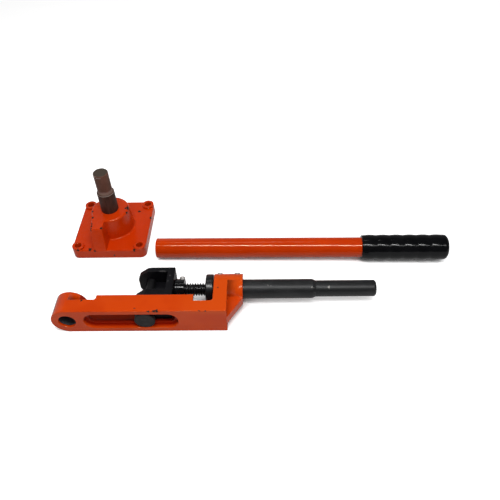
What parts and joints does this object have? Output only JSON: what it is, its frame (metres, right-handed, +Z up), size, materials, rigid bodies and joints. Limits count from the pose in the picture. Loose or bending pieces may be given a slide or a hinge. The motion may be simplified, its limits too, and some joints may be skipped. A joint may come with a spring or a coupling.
{
  "type": "manual pipe bender",
  "caption": "Bench pipe bender laid apart: square bolt-down base with a stepped post, cast swing arm with screw-fed follower block and lever rod, and a slip-on tube handle with grip.",
  "frame": {"origin": "on the bench, under the axis of the base's post, at the centre of the bolt pattern", "axes": "+Z up along the post, +X along arm and handle towards the grip, +Y from the arm towards the base"},
  "size_m": [0.6302, 0.2801, 0.1348],
  "materials": {
    "orange_paint": "gloss",
    "worn_steel": "worn",
    "bright_steel": "satin",
    "black_steel": "black oxide",
    "black_iron": "black paint",
    "black_vinyl": "gloss"
  },
  "bodies": {
    "base": {"base_casting": "orange_paint", "pivot_post": "worn_steel", "post_washer": "bright_steel", "post_nut": "bright_steel"},
    "arm": {"arm_frame": "orange_paint", "pivot_bush": "worn_steel", "lever_rod": "black_steel", "rod_set_screws": "bright_steel"},
    "adjuster": {"adjuster_wheel": "black_steel"},
    "follower": {"follower_block": "black_iron", "adjusting_screw": "black_steel", "lock_collar": "black_steel", "collar_set_screw": "bright_steel", "screw_lock_pin": "bright_steel"},
    "pin": {"follower_pin": "worn_steel", "pin_snap_ring": "bright_steel"},
    "handle": {"handle_tube": "orange_paint", "handle_grip": "black_vinyl"}
  },
  "joints": [
    {"name": "arm_swing", "type": "hinge", "parent": "base", "child": "arm", "pos_m": [-0.0304, -0.2173, 0.02385], "axis": [0, -1, 0], "range_deg": [0, 180]},
    {"name": "wheel_turn", "type": "hinge", "parent": "arm", "child": "adjuster", "pos_m": [0.1815, -0.1559, 0.02385], "axis": [1, 0, 0], "range_deg": [-3000, 6530]},
    {"name": "block_slide", "type": "slide", "parent": "arm", "child": "follower", "axis": [1, 0, 0], "range_m": [-0.072, 0.033]},
    {"name": "pin_turn", "type": "hinge", "parent": "follower", "child": "pin", "pos_m": [0.0862, -0.2173, 0.02385], "axis": [0, 1, 0], "continuous": true},
    {"name": "handle_slide", "type": "slide", "parent": "base", "child": "handle", "axis": [0.9997, -0.0209, 0.0125], "range_m": [0, 0.1]}
  ],
  "couplings": [
    {"joint": "wheel_turn", "follows": "block_slide", "rad_per_m": -1570.8}
  ]
}
